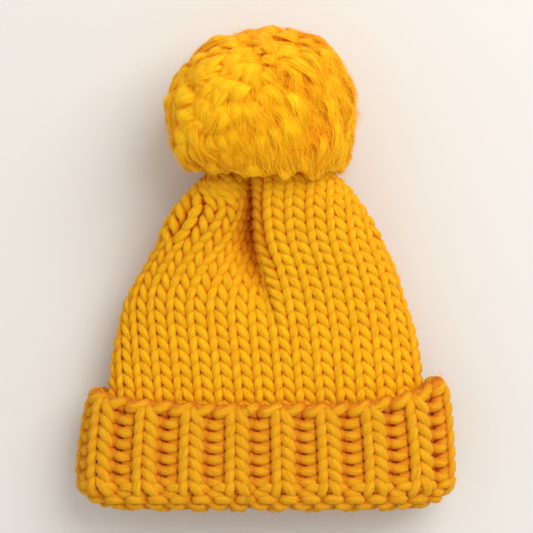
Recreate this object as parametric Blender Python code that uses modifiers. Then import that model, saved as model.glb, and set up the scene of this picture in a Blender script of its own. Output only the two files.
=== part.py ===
"""A chunky hand-knitted beanie with a turned-up ribbed cuff and a pompom, lying flat on its back.

Axes: X across the hat, Y from the mouth to the pompom, Z up from the surface that it lies on.
The origin is on that surface, under the middle of the hat's box. Lengths are in metres.
"""

import math

import bmesh
import bpy
from mathutils import Matrix, Vector

MM = 0.001

# Driving dimensions
HAT_LENGTH = 280 * MM        # from the folded brim to the far side of the pompom
CUFF_HALF_WIDTH = 110 * MM
CUFF_HEIGHT = 60 * MM        # four knitted layers and the space between the two sides
CUFF_DEPTH = 60 * MM         # from the fold to the cast-on edge
CUFF_FABRIC = 11 * MM
BODY_FABRIC = 10 * MM
CROWN_FABRIC = 9.5 * MM
FIT_GAP = 0.4 * MM           # between pieces that touch
FOLD_DEPTH = 8 * MM
EDGE_DEPTH = 6 * MM
LIFT_LEFT = 10 * MM          # how far the cuff's free edge rides up where it turns round each side
LIFT_RIGHT = 12 * MM
EDGE_NARROWING = 4.5 * MM    # on each side, at the cuff's free edge
BAND_NARROWING = 6.5 * MM    # on each side, at the inner band's upper edge
CORNER_NARROWING = 22 * MM   # on each side, at the brim, where its corners are rounded
CORNER_HEIGHT = 17 * MM
CUFF_SQUARENESS = 2.8        # of the flattened section; 2 is an ellipse
CUFF_PRESS = 1.5 * MM        # how far the cuff sinks under the hat's own weight
POMPOM_HALF_SIZE = Vector((55 * MM, 53 * MM, 50 * MM))
CINCH_Y = 206 * MM           # from the brim to the ring that draws the crown shut
POMPOM_X = -2.5 * MM
HOLE_RADIUS = 9 * MM         # in the cinched top
CORD_RADIUS = 2.1 * MM
CORD_RING_RADIUS = 6.4 * MM
GATHERING_KNOT_RADIUS = 2.5 * MM
GATHERING_KNOT_PLACE = Vector((12 * MM, -16.5 * MM, 0.0))      # from the cinch
TIE_KNOT_RADIUS = 4.6 * MM
TIE_KNOT_PLACE = Vector((0.0, -8.6 * MM, 0.0))

# Meshing
SECTION_POINTS = 48
SECTION_SAMPLES = 360
CUFF_STEPS = 5
TURN_STEPS = 10
WAIST_STEPS = 16
MERGE = 0.05 * MM

# Places worked out from them
MOUTH_Y = -HAT_LENGTH / 2
POMPOM_CENTRE = Vector((POMPOM_X, MOUTH_Y + HAT_LENGTH - POMPOM_HALF_SIZE.y, POMPOM_HALF_SIZE.z))
CINCH = Vector((POMPOM_X, MOUTH_Y + CINCH_Y, POMPOM_CENTRE.z))
CUFF_FREE_EDGE = CUFF_DEPTH - EDGE_DEPTH

# The knitted body's outside, from the cuff to the cinched top, in millimetres:
# distance from the brim, left side, right side, underside, top side, squareness of the section.
BODY_PROFILE = (
    (60.4, -92.0, 92.5, 12.0, 48.0, 2.7),
    (85.0, -90.2, 91.3, 5.0, 49.0, 2.6),
    (105.0, -86.3, 87.5, 1.5, 50.5, 2.5),
    (122.0, -81.5, 82.0, 0.5, 53.0, 2.5),
    (140.0, -71.0, 76.3, 1.0, 57.0, 2.4),
    (155.0, -63.0, 68.5, 4.0, 62.0, 2.3),
    (168.0, -56.5, 61.0, 9.0, 66.5, 2.3),
    (178.0, -48.5, 54.5, 15.0, 70.0, 2.2),
    (187.0, -40.0, 46.5, 21.0, 72.0, 2.1),
    (196.0, -30.0, 33.0, 28.0, 71.0, 2.0),
    (203.0, -20.0, 16.0, 34.0, 66.0, 2.0),
    (207.5, -13.0, 8.0, 39.5, 60.5, 2.0),
)
# The pleat in the front of the crown, in millimetres: distance from the brim, its line, its depth.
PLEAT = (
    (115.0, -30.0, 0.0),
    (135.0, -23.0, 9.0),
    (150.0, -16.0, 16.0),
    (165.0, -10.0, 19.0),
    (175.0, -7.0, 16.0),
    (184.0, -5.0, 8.0),
    (190.0, -3.5, 2.0),
    (194.0, -2.5, 0.0),
)
PLEAT_WIDTH = 13 * MM
BODY_ROUNDS = (60.4, 75.0, 90.0, 105.0, 120.0, 133.8)
CROWN_ROUNDS = (134.2, 146.0, 157.0, 167.0, 176.0, 184.0, 191.0, 197.0, 203.0, 207.5)
TILT_REACH = 4.0             # the slope of the crown is measured this far (mm) each side of a section

# The pompom's tufts, ring by ring from its tip: name, angle from the tip, number, half angle, longest.
TUFT_RINGS = (
    ("tuft_tip", 0.0, 1, 15.0, None),
    ("tuft_upper", 33.0, 6, 15.0, None),
    ("tuft_middle", 66.0, 10, 15.0, None),
    ("tuft_lower", 99.0, 11, 15.0, None),
    ("tuft_under", 130.0, 8, 14.0, 22 * MM),
)
TUFT_START = 11 * MM
TIE_RADIUS = 1.6 * MM
TIE_RING_RADIUS = 6.2 * MM
TAIL_RADIUS = 1.15 * MM
TAIL_SPREAD = 1.45 * MM
TAIL_SPAN = (-2.5 * MM, 2.5 * MM)        # along Y from the cinch
LEG_SPAN = (3.1 * MM, 12.3 * MM)
LEG_BOW = 0.5 * MM

BODY_WOOL = ("body_wool", (0.86, 0.43, 0.012), 0.9)
CUFF_WOOL = ("cuff_wool", (0.82, 0.40, 0.012), 0.9)
POMPOM_WOOL = ("pompom_wool", (0.90, 0.47, 0.012), 0.95)
TIE_YARN = ("tie_yarn", (0.80, 0.38, 0.010), 0.85)


def clear_scene():
    for obj in list(bpy.data.objects):
        bpy.data.objects.remove(obj)


def collection_for_hat():
    collection = bpy.data.collections.new("pompom_beanie")
    bpy.context.scene.collection.children.link(collection)
    return collection


def wool(finish):
    """The material for a yarn, made once."""
    name, colour, roughness = finish
    material = bpy.data.materials.get(name)
    if material is None:
        material = bpy.data.materials.new(name)
        material.use_nodes = True
        shader = material.node_tree.nodes["Principled BSDF"]
        shader.inputs["Base Color"].default_value = (*colour, 1.0)
        shader.inputs["Roughness"].default_value = roughness
        shader.inputs["Metallic"].default_value = 0.0
    return material


def keep(obj, finish):
    """Gives the piece its yarn and moves it to the hat's collection."""
    obj.data.materials.clear()
    obj.data.materials.append(wool(finish))
    for collection in list(obj.users_collection):
        collection.objects.unlink(obj)
    HAT.objects.link(obj)
    return obj


# ---- knitted rings: lofts round the flattened tube ----


def slope_at(table, i):
    """How fast each value of a table changes at its row i."""
    low, high = table[max(i - 1, 0)], table[min(i + 1, len(table) - 1)]
    return [(b - a) / (high[0] - low[0]) for a, b in zip(low, high)][1:]


def between(table, y):
    """The values of a table in millimetres at the distance y (mm) from the brim, on smooth curves."""
    y = min(max(y, table[0][0]), table[-1][0])
    i = next(i for i in range(len(table) - 1) if y <= table[i + 1][0])
    low, high = table[i], table[i + 1]
    span = high[0] - low[0]
    t = (y - low[0]) / span
    rise = t * t * (3 - 2 * t)
    return tuple(
        a + (b - a) * rise + span * (s0 * (t ** 3 - 2 * t ** 2 + t) + s1 * (t ** 3 - t ** 2))
        for a, b, s0, s1 in zip(low[1:], high[1:], slope_at(table, i), slope_at(table, i + 1))
    )


def flattened_circle(left, right, low, high, squareness):
    """Points spaced evenly round a squared-off ellipse, as (x, z), from its right side up over the top."""
    half_width, half_height = (right - left) / 2, (high - low) / 2
    centre_x, centre_z = (left + right) / 2, (low + high) / 2
    power = 2 / squareness
    dense = []
    for i in range(SECTION_SAMPLES + 1):
        angle = 2 * math.pi * i / SECTION_SAMPLES
        c, s = math.cos(angle), math.sin(angle)
        dense.append((
            centre_x + half_width * math.copysign(abs(c) ** power, c),
            centre_z + half_height * math.copysign(abs(s) ** power, s),
        ))
    along = [0.0]
    for a, b in zip(dense, dense[1:]):
        along.append(along[-1] + math.dist(a, b))
    points, at = [], 0
    for i in range(SECTION_POINTS):
        wanted = along[-1] * i / SECTION_POINTS
        while along[at + 1] < wanted:
            at += 1
        share = (wanted - along[at]) / (along[at + 1] - along[at])
        points.append(tuple(p + (q - p) * share for p, q in zip(dense[at], dense[at + 1])))
    return points


def section(y, left, right, low, high, squareness, lift=0.0):
    """One ring of the fabric in space. Its underside is pressed flat where it would pass the surface below,
    and its sides ride up by a share of the full lift."""
    ring = []
    pleat_x, pleat_depth = (v * MM for v in between(PLEAT, y / MM))
    middle_z = (low + high) / 2
    for x, z in flattened_circle(left, right, low, high, squareness):
        if z > middle_z:
            z -= pleat_depth * math.exp(-(((x - pleat_x) / PLEAT_WIDTH) ** 2))
        rise = lift * (LIFT_RIGHT if x > 0 else LIFT_LEFT) * (x / CUFF_HALF_WIDTH) ** 4
        ring.append(Vector((x, MOUTH_Y + y + rise, max(z, 0.0))))
    return ring


def knitted_ring(name, sections, finish):
    """A closed shell swept round the hat: the sections run up its outside and back down its inside."""
    mesh = bpy.data.meshes.new(name)
    obj = bpy.data.objects.new(name, mesh)
    shell = bmesh.new()
    rings = [[shell.verts.new(point) for point in ring] for ring in sections]
    for ring, following in zip(rings, rings[1:] + rings[:1]):
        for i in range(SECTION_POINTS):
            j = (i + 1) % SECTION_POINTS
            shell.faces.new((ring[i], ring[j], following[j], following[i]))
    bmesh.ops.recalc_face_normals(shell, faces=shell.faces)
    shell.to_mesh(mesh)
    shell.free()
    mesh.shade_smooth()
    bpy.context.scene.collection.objects.link(obj)
    return keep(obj, finish)


def cuff_section(y, inset, lift=0.0, narrowing=0.0):
    """A section of the cuff, inset from its outside by so much, and narrower at its rounded corners."""
    corner = CORNER_NARROWING * max(1 - y / CORNER_HEIGHT, 0.0) ** 2
    half = CUFF_HALF_WIDTH - inset - narrowing - corner
    press = CUFF_PRESS if inset < FIT_GAP else 0.0
    return section(y, -half, half, inset - press, CUFF_HEIGHT - inset, CUFF_SQUARENESS, lift)


def knitted_layer(name, outer, inner, end, lift, narrowing):
    """One layer of the ribbed band, from the fold's ridge up to its end, between two insets."""
    start = FOLD_DEPTH + FIT_GAP
    sections = []
    for inset, order in ((outer, range(CUFF_STEPS + 1)), (inner, range(CUFF_STEPS, -1, -1))):
        for i in order:
            share = i / CUFF_STEPS
            y = start + (end - start) * share
            sections.append(cuff_section(y, inset, lift * share, narrowing * share ** 2))
    return knitted_ring(name, sections, CUFF_WOOL)


def turned_cuff():
    """The outer half of the ribbed band, turned up over the inner half."""
    return knitted_layer("turned_cuff", 0.0, CUFF_FABRIC, CUFF_FREE_EDGE, 1.0, EDGE_NARROWING)


def cast_on_edge():
    """The chain of cast-on stitches along the cuff's free edge."""
    start, end = CUFF_FREE_EDGE + FIT_GAP, CUFF_DEPTH
    middle = (start + end) / 2
    rounded = (
        (start, 1.0 * MM), (middle, 0.2 * MM), (end, 2.5 * MM),
        (end, 7.5 * MM), (middle, 9.8 * MM), (start, 9.0 * MM),
    )
    sections = [cuff_section(y, inset, 1.0, EDGE_NARROWING) for y, inset in rounded]
    return knitted_ring("cast_on_edge", sections, CUFF_WOOL)


def fold_ridge():
    """The ridge of purl stitches where the band folds at the mouth."""
    depth = CUFF_FABRIC + FIT_GAP + BODY_FABRIC
    rounded = (
        (FOLD_DEPTH, 0.0), (4.5 * MM, 0.0), (1.3 * MM, 3.0 * MM), (0.0, 8.0 * MM),
        (0.0, depth - 8.0 * MM), (1.3 * MM, depth - 3.0 * MM), (4.5 * MM, depth), (FOLD_DEPTH, depth),
    )
    return knitted_ring("fold_ridge", [cuff_section(y, inset) for y, inset in rounded], CUFF_WOOL)


def inner_band():
    outer = CUFF_FABRIC + FIT_GAP
    return knitted_layer("inner_band", outer, outer + BODY_FABRIC, CUFF_DEPTH, 0.0, BAND_NARROWING)


def half_size(y):
    """The mean of half the body's width and half its height (mm) at the distance y (mm) from the brim."""
    left, right, low, high = between(BODY_PROFILE, y)[:4]
    return (right - left + high - low) / 4


def body_outline(y):
    """The outside of the body or crown at the distance y (mm) from the brim, and the slope of its sides."""
    left, right, low, high, squareness = between(BODY_PROFILE, y)
    before = max(y - TILT_REACH, BODY_PROFILE[0][0])
    after = min(y + TILT_REACH, BODY_PROFILE[-1][0])
    tilt = math.atan2(half_size(before) - half_size(after), after - before)
    return left * MM, right * MM, low * MM, high * MM, squareness, tilt


def knitted_tube(name, rounds):
    """One stretch of the stocking stitch, from its first round to its last (mm from the brim)."""
    outside, inside = [], []
    for y in rounds:
        left, right, low, high, squareness, tilt = body_outline(y)
        outside.append(section(y * MM, left, right, low, high, squareness))
        inset, drop = CROWN_FABRIC * math.cos(tilt), CROWN_FABRIC * math.sin(tilt)
        centre_x, centre_z = (left + right) / 2, (low + high) / 2
        half_width = max((right - left) / 2 - inset, HOLE_RADIUS)
        half_height = max((high - low) / 2 - inset, HOLE_RADIUS)
        inside.append(section(
            y * MM - drop, centre_x - half_width, centre_x + half_width,
            centre_z - half_height, centre_z + half_height, squareness,
        ))
    return knitted_ring(name, outside + inside[::-1], BODY_WOOL)


def knitted_body():
    """The straight tube of stocking stitch above the band."""
    return knitted_tube("knitted_body", BODY_ROUNDS)


def gathered_crown():
    """The rounds that are drawn together: a flattened dome, pleated in front and cinched round a hole."""
    return knitted_tube("gathered_crown", CROWN_ROUNDS)


# ---- the cords that close the crown and hold the pompom ----


def torus(name, centre, rotation, ring_radius, cord_radius, finish, segments=24):
    bpy.ops.mesh.primitive_torus_add(
        location=centre, rotation=rotation, major_radius=ring_radius, minor_radius=cord_radius,
        major_segments=segments, minor_segments=8,
    )
    obj = bpy.context.active_object
    obj.name = name
    obj.data.shade_smooth()
    return keep(obj, finish)


def knot(name, centre, radius, squeeze, finish):
    bpy.ops.mesh.primitive_uv_sphere_add(segments=14, ring_count=8, radius=radius, location=centre)
    obj = bpy.context.active_object
    obj.name = name
    obj.scale = squeeze
    obj.data.shade_smooth()
    return keep(obj, finish)


def cord(name, points, radius, finish):
    curve = bpy.data.curves.new(name, "CURVE")
    curve.dimensions = "3D"
    curve.bevel_depth = radius
    curve.bevel_resolution = 2
    curve.use_fill_caps = True
    spline = curve.splines.new("POLY")
    spline.points.add(len(points) - 1)
    for spline_point, point in zip(spline.points, points):
        spline_point.co = (*point, 1.0)
    obj = bpy.data.objects.new(name, curve)
    bpy.context.scene.collection.objects.link(obj)
    return keep(obj, finish)


def crown_cords():
    """The gathering cord with its knot, and the knot that holds the pompom's tie inside the crown."""
    facing_y = (math.pi / 2, 0.0, 0.0)
    torus("gathering_cord", CINCH, facing_y, CORD_RING_RADIUS, CORD_RADIUS, TIE_YARN)
    knot("gathering_knot", CINCH + GATHERING_KNOT_PLACE, GATHERING_KNOT_RADIUS, (1.0, 1.0, 1.0), TIE_YARN)
    knot("tie_knot", CINCH + TIE_KNOT_PLACE, TIE_KNOT_RADIUS, (1.0, 0.95, 1.0), TIE_YARN)


def tie_cords():
    """The tie's two tails, in the cinched hole and on up to the binding, one on each side."""
    for name, span, bow in (("tie_tail", TAIL_SPAN, 0.0), ("tie_leg", LEG_SPAN, LEG_BOW)):
        for side, sign in (("left", -1), ("right", 1)):
            points = []
            for share in (0.0, 0.25, 0.5, 0.75, 1.0):
                aside = sign * (TAIL_SPREAD + bow * math.sin(math.pi * share))
                points.append(CINCH + Vector((aside, span[0] + (span[1] - span[0]) * share, 0.0)))
            cord(f"{name}_{side}", points, TAIL_RADIUS, TIE_YARN)


# ---- the pompom: tufts of cut yarn that spring from a tied waist ----


def turned(name, profile, steps, finish):
    """A solid of revolution about its own Z, from an outline of (radius, height) that runs top to bottom."""
    mesh = bpy.data.meshes.new(name)
    obj = bpy.data.objects.new(name, mesh)
    mesh.from_pydata([(radius, 0.0, height) for radius, height in profile],
                     [(i, i + 1) for i in range(len(profile) - 1)], [])
    bpy.context.scene.collection.objects.link(obj)
    screw = obj.modifiers.new("turn", "SCREW")
    screw.axis = "Z"
    screw.steps = screw.render_steps = steps
    screw.use_merge_vertices = True
    screw.merge_threshold = MERGE
    return keep(obj, finish)


def strand_waist():
    """The middles of all the strands, squeezed together inside the binding."""
    profile = [(r * MM, h * MM) for r, h in (
        (0.0, 8.6), (4.6, 8.0), (7.2, 6.0), (7.2, 4.0), (4.3, 2.0),
        (4.3, -2.0), (7.2, -4.0), (7.2, -6.0), (4.6, -8.0), (0.0, -8.6),
    )]
    obj = turned("strand_waist", profile, WAIST_STEPS, POMPOM_WOOL)
    obj.location = POMPOM_CENTRE
    obj.rotation_euler = (0.0, math.pi / 2, 0.0)
    return obj


def tuft_length(direction):
    """How far the pompom reaches from its centre in that direction."""
    return 1 / math.sqrt(sum((d / half) ** 2 for d, half in zip(direction, POMPOM_HALF_SIZE)))


def tuft(name, direction, half_angle, limit):
    """A bundle of cut strands that fans out from the waist to a domed end."""
    length = tuft_length(direction)
    if limit is not None:
        length = min(length, limit)
    shoulder = 0.84 * length
    spread = math.tan(half_angle)
    profile = [
        (0.0, length),
        (0.5 * shoulder * spread, 0.985 * length),
        (0.88 * shoulder * spread, 0.93 * length),
        (shoulder * spread, shoulder),
        (TUFT_START * spread, TUFT_START),
        (0.0, TUFT_START),
    ]
    obj = turned(name, profile, TURN_STEPS, POMPOM_WOOL)
    obj.location = POMPOM_CENTRE
    obj.rotation_euler = direction.to_track_quat("Z", "Y").to_euler()
    return obj


def pompom():
    strand_waist()
    torus("pompom_tie", POMPOM_CENTRE, (0.0, math.pi / 2, 0.0), TIE_RING_RADIUS, TIE_RADIUS, TIE_YARN)
    for ring, (name, polar, count, half_angle, limit) in enumerate(TUFT_RINGS):
        for i in range(count):
            around = 2 * math.pi * (i + 0.5 * (ring % 2)) / count
            tilt = Matrix.Rotation(math.radians(polar), 3, "X")
            direction = Matrix.Rotation(around, 3, "Y") @ tilt @ Vector((0, 1, 0))
            label = name if count == 1 else f"{name}_{i + 1:02d}"
            tuft(label, direction, math.radians(half_angle), limit)


clear_scene()
HAT = collection_for_hat()
knitted_body()
gathered_crown()
inner_band()
fold_ridge()
turned_cuff()
cast_on_edge()
crown_cords()
tie_cords()
pompom()
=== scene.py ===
"""The finished look of the chunky knitted beanie: every stitch as looped yarn, the cut strands of the pompom,
the wool, the floor and the light. Lengths are in metres, in the CAD model's own frame."""

import math

import bpy
import numpy as np
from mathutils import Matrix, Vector


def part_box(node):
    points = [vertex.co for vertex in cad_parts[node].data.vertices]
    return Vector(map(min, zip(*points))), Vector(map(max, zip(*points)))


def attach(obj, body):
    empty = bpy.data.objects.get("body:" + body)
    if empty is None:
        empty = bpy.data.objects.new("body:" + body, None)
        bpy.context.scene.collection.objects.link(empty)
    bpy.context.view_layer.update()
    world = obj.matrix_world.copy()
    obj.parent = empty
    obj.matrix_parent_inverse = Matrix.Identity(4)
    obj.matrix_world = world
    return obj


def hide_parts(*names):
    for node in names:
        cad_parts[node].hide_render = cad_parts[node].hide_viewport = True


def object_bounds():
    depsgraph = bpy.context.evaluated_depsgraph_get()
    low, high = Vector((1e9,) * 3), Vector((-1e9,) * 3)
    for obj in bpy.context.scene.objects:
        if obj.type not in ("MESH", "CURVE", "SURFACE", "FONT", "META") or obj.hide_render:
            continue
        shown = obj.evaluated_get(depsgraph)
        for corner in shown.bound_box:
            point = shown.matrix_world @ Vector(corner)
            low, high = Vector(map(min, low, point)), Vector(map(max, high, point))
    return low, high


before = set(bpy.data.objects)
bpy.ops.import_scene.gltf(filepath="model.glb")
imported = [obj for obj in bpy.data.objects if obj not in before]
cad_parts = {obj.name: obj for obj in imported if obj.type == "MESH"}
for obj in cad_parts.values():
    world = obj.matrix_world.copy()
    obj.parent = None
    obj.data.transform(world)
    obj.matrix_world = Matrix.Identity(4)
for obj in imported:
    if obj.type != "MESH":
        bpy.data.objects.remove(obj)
CAD_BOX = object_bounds()

MM = 0.001
RANDOM = np.random.default_rng(7)

# ---- sizes ----
STITCHES = 36
YARN = 2.85 * MM                 # radius of the yarn
STAND = 2.5 * MM                 # how far a leg stands in front of the fabric's middle, and a head behind it
COURSE = 7.5 * MM                # one row of the body
BAND_COURSE = 6.9 * MM           # one row of the ribbed band
FRONT_STITCH = 11.6 * MM
LOOP_REACH = 0.92                # how far a loop reaches up and down, in rows
PURL_REACH = 0.62
LOOP_SWING = 0.21                # how far a leg swings sideways, in stitches
LOOP_SKEW = 0.13                 # the lean that makes one leg slant and the other stand upright
POINTS_PER_STITCH = 18
YARN_SIDES = 8
CREASE_SHADE_HEIGHTS = (0.5 * MM, 4.6 * MM)   # painted shade: the wool is darkest below the first and lightest above the second height off the fabric's middle
GRID_PER_COURSE = 8
GRID_PER_STITCH = 20
SECTION_SAMPLES = 900

# ---- places, from the CAD model ----
cuff_low, cuff_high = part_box("turned_cuff")
cord_low, cord_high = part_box("gathering_cord")
waist_low, waist_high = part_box("strand_waist")

MOUTH_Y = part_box("fold_ridge")[0].y
CUFF_HALF_WIDTH = (cuff_high.x - cuff_low.x) / 2
CUFF_HEIGHT = cuff_high.z
CINCH = (cord_low + cord_high) / 2
POMPOM_CENTRE = (waist_low + waist_high) / 2
POMPOM_HALF = np.array((52.5 * MM, CAD_BOX[1][1] - POMPOM_CENTRE.y - 5.5 * MM, 47 * MM))
POMPOM_SQUARENESS = (2.0, 2.5)   # of its outline on the left and the right; 2 is an ellipse
CUFF_FABRIC = 11 * MM
INNER_FABRIC = 10 * MM
BODY_FABRIC = 9.5 * MM
LAYER_GAP = 0.4 * MM
BAND_START_Y = 62 * MM           # the fabric's edge under the cast-on chain, from the brim
FOLD_RADIUS = (CUFF_FABRIC + 2 * LAYER_GAP + INNER_FABRIC) / 4
EDGE_LIFT_LEFT = 12 * MM         # how far the free edge rides up at each side
EDGE_LIFT_RIGHT = 21 * MM
EDGE_NARROWING_LEFT = 7.5 * MM
EDGE_NARROWING_RIGHT = 4.5 * MM
INNER_NARROWING = 6 * MM
INNER_END_Y = 60 * MM            # where the ribbing ends inside, from the brim
CORNER_NARROWING = 26 * MM       # how much narrower the brim is at the fold, for its rounded corners
CORNER_HEIGHT = 18 * MM
CUFF_SQUARENESS = 2.8
RIB_ANCHOR_X = -9.9 * MM         # the middle of a knit column in front
BAND_SPREAD = 0.04

# The body's outside, in millimetres: distance from the brim, left, right, underside, top, squareness; then
# the front pleat's edge, its depth, the width of its left flank, and the gathers' depth.
BODY_ROWS = np.array((
    (60.4, -92.0, 92.5, 12.0, 48.0, 2.7, 11.5, 0.0, 20.0, 0.0),
    (85.0, -90.2, 91.3, 5.0, 49.0, 2.6, 9.5, 0.0, 20.0, 0.0),
    (105.0, -86.3, 87.5, 1.5, 50.5, 2.5, 7.5, 0.5, 20.0, 0.0),
    (122.0, -81.5, 82.0, 0.5, 53.0, 2.5, 5.0, 4.5, 23.0, 0.0),
    (140.0, -71.0, 76.3, 1.0, 57.0, 2.4, 2.5, 15.0, 22.0, 1.0),
    (155.0, -63.0, 68.5, 4.0, 62.0, 2.3, -0.5, 26.0, 18.0, 2.5),
    (168.0, -56.5, 61.0, 9.0, 66.5, 2.3, -1.5, 31.0, 13.0, 4.0),
    (178.0, -48.5, 54.5, 15.0, 70.0, 2.2, -2.0, 31.0, 9.0, 5.0),
    (187.0, -40.0, 46.5, 21.0, 72.0, 2.1, -2.5, 25.0, 8.0, 5.0),
    (196.0, -30.0, 33.0, 28.0, 71.0, 2.0, -3.5, 13.0, 7.0, 3.5),
    (203.0, -20.0, 16.0, 34.0, 66.0, 2.0, -3.0, 5.0, 6.0, 1.5),
    (207.5, -13.0, 8.0, 39.5, 60.5, 2.0, -2.5, 0.0, 6.0, 0.0),
))
BODY_START = 44.0                # where the body's first stitches hang inside the band, from the brim
BODY_RINGS = 260
PLEAT_RIGHT_WALL = 3.5 * MM
PLEAT_LIP = 1.5 * MM             # how softly the steep wall turns into the front
DEEPEST_PLEAT = 24 * MM          # this far below the hat's top the pleat's wool has its deepest painted shade
# how much painted shade darkens the wool at the bottom of the pleat
PLEAT_SHADE = 0.9
GATHER_PITCH = 17 * MM
WIDEST_FRONT = 0.75              # how much wider than the others the crown's front stitches may be drawn


# ---- surfaces that the yarn follows ----


def smooth_rows(table, at):
    """Rows of a table read smoothly at the given values of its first column."""
    knots = table[:, 0]
    slopes = np.gradient(table, knots, axis=0)
    low = np.clip(np.searchsorted(knots, at, side="right") - 1, 0, len(knots) - 2)
    span = (knots[low + 1] - knots[low])[:, None]
    t = ((at - knots[low])[:, None] / span)
    h00, h10 = 2 * t ** 3 - 3 * t ** 2 + 1, t ** 3 - 2 * t ** 2 + t
    h01, h11 = 3 * t ** 2 - 2 * t ** 3, t ** 3 - t ** 2
    return h00 * table[low] + h10 * span * slopes[low] + h01 * table[low + 1] + h11 * span * slopes[low + 1]


def smoothstep(low, high, value):
    t = np.clip((value - low) / (high - low), 0.0, 1.0)
    return t * t * (3 - 2 * t)


def rounded(values, squareness):
    return np.sign(values) * np.abs(values) ** (2 / squareness)


class KnitSurface:
    """The middle of a knitted layer: a grid over (stitch, row), with its normals and stitch widths."""

    def __init__(self, points):
        self.points = points
        self.rows = points.shape[0]
        along_row = np.roll(points, -1, axis=1) - np.roll(points, 1, axis=1)
        up = np.gradient(points, axis=0)
        normals = np.cross(along_row, up)
        self.normals = normals / np.linalg.norm(normals, axis=2, keepdims=True)
        self.widths = np.linalg.norm(along_row, axis=2, keepdims=True) * GRID_PER_STITCH / 2

    def at(self, u, v):
        """The middle, the normal and the stitch width at stitch u and row v."""
        column = np.mod(u * GRID_PER_STITCH, self.points.shape[1])
        row = np.clip(v * GRID_PER_COURSE, 0, self.rows - 1.001)
        c0, r0 = column.astype(int), row.astype(int)
        c1 = (c0 + 1) % self.points.shape[1]
        c0 = c0 % self.points.shape[1]
        fc, fr = (column - np.floor(column))[..., None], (row - r0)[..., None]

        def mixed(grid):
            lower = grid[r0, c0] * (1 - fc) + grid[r0, c1] * fc
            upper = grid[r0 + 1, c0] * (1 - fc) + grid[r0 + 1, c1] * fc
            return lower * (1 - fr) + upper * fr

        return mixed(self.points), mixed(self.normals), mixed(self.widths)[..., 0]


def ring_points(y, left, right, low, high, squareness, anchor_x, spread, direction=1, lift=0.0, shape=None):
    """One row's points, stitch by stitch from its anchor in front; direction -1 counts them to the left."""
    phi = np.linspace(0, 2 * math.pi, SECTION_SAMPLES + 1)
    centre_x, centre_z = (left + right) / 2, (low + high) / 2
    half_width, half_height = (right - left) / 2, (high - low) / 2
    x = centre_x + half_width * rounded(np.sin(phi), squareness)
    z = centre_z + half_height * rounded(np.cos(phi), squareness)
    if shape is not None:
        z = shape(x, z, centre_z, half_height)
    step = np.hypot(np.diff(x), np.diff(z))
    length = np.concatenate(([0.0], np.cumsum(step)))
    share = (anchor_x - centre_x) / half_width
    anchor_phi = math.asin(math.copysign(abs(share) ** (squareness / 2), share)) % (2 * math.pi)
    anchor = np.interp(anchor_phi, phi, length)
    stitch = np.arange(STITCHES * GRID_PER_STITCH) / GRID_PER_STITCH
    ring = 2 * math.pi * stitch / STITCHES
    front_share = 1.15 * np.sin(ring) - 0.05 * np.sin(3 * ring)
    distance = length[-1] / (2 * math.pi) * (ring + spread(length[-1]) * front_share)
    at = np.mod(anchor + direction * distance, length[-1])
    ring_x, ring_z = np.interp(at, length, x), np.interp(at, length, z)
    side_lift = np.where(ring_x < 0, EDGE_LIFT_LEFT, EDGE_LIFT_RIGHT)
    ring_y = MOUTH_Y + y + lift * side_lift * (ring_x / CUFF_HALF_WIDTH) ** 4
    return np.stack((ring_x, ring_y, ring_z), axis=1)


def spaced_rows(rings, course):
    """Rings picked so that there is one course's length of fabric between whole rows."""
    rings = np.array(rings)
    front = slice(0, rings.shape[1] // 4)
    gaps = np.linalg.norm(np.diff(rings, axis=0), axis=2)
    steps = (gaps[:, front].mean(axis=1) + gaps[:, -rings.shape[1] // 4:].mean(axis=1)) / 2
    length = np.concatenate(([0.0], np.cumsum(steps)))
    count = int(length[-1] / course * GRID_PER_COURSE)
    wanted = np.arange(count + 1) * course / GRID_PER_COURSE
    index = np.interp(wanted, length, np.arange(len(rings)))
    low = np.minimum(index.astype(int), len(rings) - 2)
    share = (index - low)[:, None, None]
    return KnitSurface(rings[low] * (1 - share) + rings[low + 1] * share)


def pleat_valley(x, edge, flank):
    """The pleat's cross-section, 1 at its bottom: a gentle flank on the left, a steep wall on the right."""
    bottom = edge - PLEAT_RIGHT_WALL
    wall = 1 - smoothstep(bottom, edge + PLEAT_LIP, x)
    return np.where(x > bottom, wall, np.exp(-(((x - bottom) / flank) ** 2)))


def pleat_shade(points, shades):
    """Painted shade: the wool is painted deeper and redder the further down it lies in the pleat."""
    at = (points[:, 1] - MOUTH_Y) / MM
    edge, depth, flank = (np.interp(at, BODY_ROWS[:, 0], BODY_ROWS[:, k]) * MM for k in (6, 7, 8))
    middle = np.interp(at, BODY_ROWS[:, 0], BODY_ROWS[:, 3:5].mean(axis=1)) * MM
    top = np.interp(at, BODY_ROWS[:, 0], BODY_ROWS[:, 4]) * MM
    in_front = points[:, 2] > middle - depth / 2
    sunk = np.clip((top - 2 * YARN - points[:, 2]) / DEEPEST_PLEAT, 0, 1) * in_front
    return shades * (1 - PLEAT_SHADE * sunk * pleat_valley(points[:, 0], edge, flank))


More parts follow.
